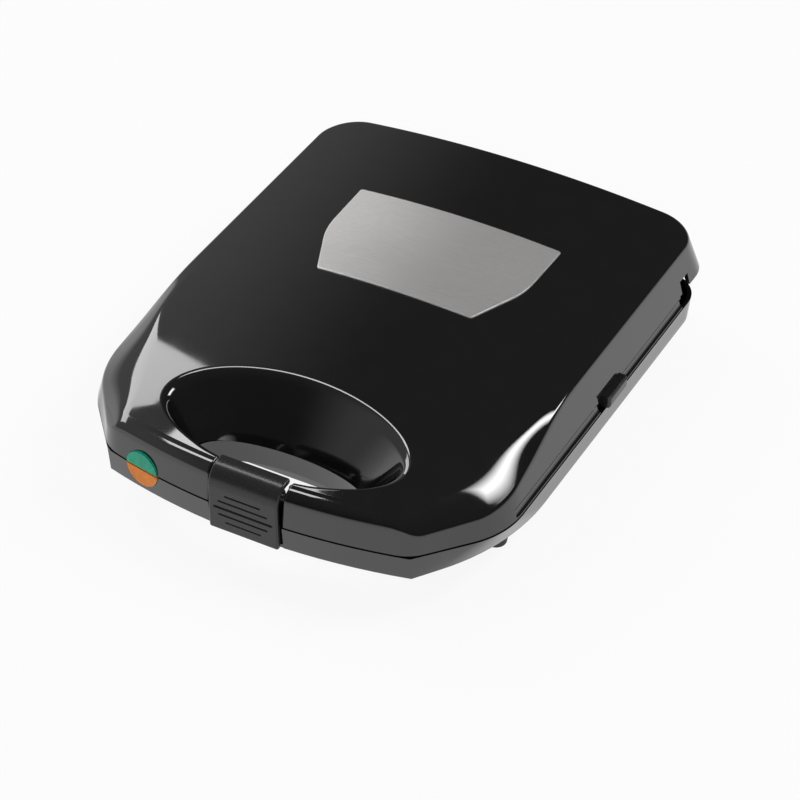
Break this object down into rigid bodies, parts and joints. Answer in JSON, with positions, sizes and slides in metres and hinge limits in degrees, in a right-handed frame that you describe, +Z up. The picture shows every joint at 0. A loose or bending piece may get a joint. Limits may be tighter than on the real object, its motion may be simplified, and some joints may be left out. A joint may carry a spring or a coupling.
{
  "type": "sandwich maker",
  "caption": "Closed countertop sandwich maker: hinged gloss black lid with handle opening, front latch, two-colour indicator, bare metal plate and plates held by sliding releases.",
  "frame": {"origin": "on the table under the middle of the closed object", "axes": "+X to the object's right seen from the front, -Y towards the front and its latch, +Z up"},
  "size_m": [0.266, 0.3236, 0.0811],
  "materials": {
    "lid_gloss": "gloss black, moulded",
    "base_gloss": "gloss black, moulded",
    "plate_steel": "brushed, bare",
    "frame_plastic": "fine-grained black, heat resistant",
    "cooking_aluminium": "dark non-stick coating",
    "slider_plastic": "satin black",
    "spring_steel": "drawn wire",
    "element_steel": "oxidised sheath",
    "shield_aluminium": "pressed sheet",
    "clip_steel": "pressed sheet",
    "green_lens": "clear tinted green",
    "orange_lens": "clear tinted orange",
    "lamp_glass": "clear",
    "hinge_steel": "zinc plated",
    "foot_rubber": "matt black",
    "screw_steel": "zinc plated",
    "thermostat_metal": "bare",
    "fuse_metal": "bare",
    "block_plastic": "natural",
    "gland_rubber": "matt black",
    "latch_plastic": "satin black"
  },
  "bodies": {
    "base": {"base_shell": "base_gloss", "base_inner_frame": "frame_plastic", "lower_cooking_plate": "cooking_aluminium", "lower_release_spring": "spring_steel", "lower_heating_element": "element_steel", "lower_heat_shield": "shield_aluminium", "lower_element_clips": "clip_steel", "power_light_lens": "orange_lens", "power_light_lamp": "lamp_glass", "hinge_pin_left": "hinge_steel", "hinge_pin_right": "hinge_steel", "foot_front_left": "foot_rubber", "foot_front_right": "foot_rubber", "foot_rear_left": "foot_rubber", "foot_rear_right": "foot_rubber", "base_screws": "screw_steel", "base_frame_screws": "screw_steel", "thermostat": "thermostat_metal", "thermal_fuse": "fuse_metal", "terminal_block": "block_plastic", "mains_inlet_gland": "gland_rubber"},
    "lid": {"lid_shell": "lid_gloss", "badge_plate": "plate_steel", "lid_inner_frame": "frame_plastic", "upper_cooking_plate": "cooking_aluminium", "upper_heating_element": "element_steel", "upper_heat_shield": "shield_aluminium", "upper_element_clips": "clip_steel", "ready_light_lens": "green_lens", "ready_light_lamp": "lamp_glass", "upper_release_spring": "spring_steel", "hinge_arm_left": "hinge_steel", "hinge_arm_right": "hinge_steel", "lid_frame_screws": "screw_steel", "latch_pin": "hinge_steel"},
    "latch": {"latch_clip": "latch_plastic"},
    "upper_release": {"upper_release_slider": "slider_plastic"},
    "lower_release": {"lower_release_slider": "slider_plastic"}
  },
  "joints": [
    {"name": "lid_hinge", "type": "hinge", "parent": "base", "child": "lid", "pos_m": [0, 0.14796, 0.0463], "axis": [-1, 0, 0], "range_deg": [0, 100]},
    {"name": "latch_pivot", "type": "hinge", "parent": "lid", "child": "latch", "pos_m": [0, -0.15379, 0.0563], "axis": [-1, 0, 0], "range_deg": [0, 28], "stiffness_Nm_per_rad": 0.4, "springref_deg": -9.74},
    {"name": "upper_release_slide", "type": "slide", "parent": "lid", "child": "upper_release", "axis": [0, -1, 0], "range_m": [0, 0.005], "stiffness_N_per_m": 600, "springref_m": -0.002, "deforming": ["upper_release_spring"]},
    {"name": "lower_release_slide", "type": "slide", "parent": "base", "child": "lower_release", "axis": [0, -1, 0], "range_m": [0, 0.005], "stiffness_N_per_m": 600, "springref_m": -0.002, "deforming": ["lower_release_spring"]}
  ]
}
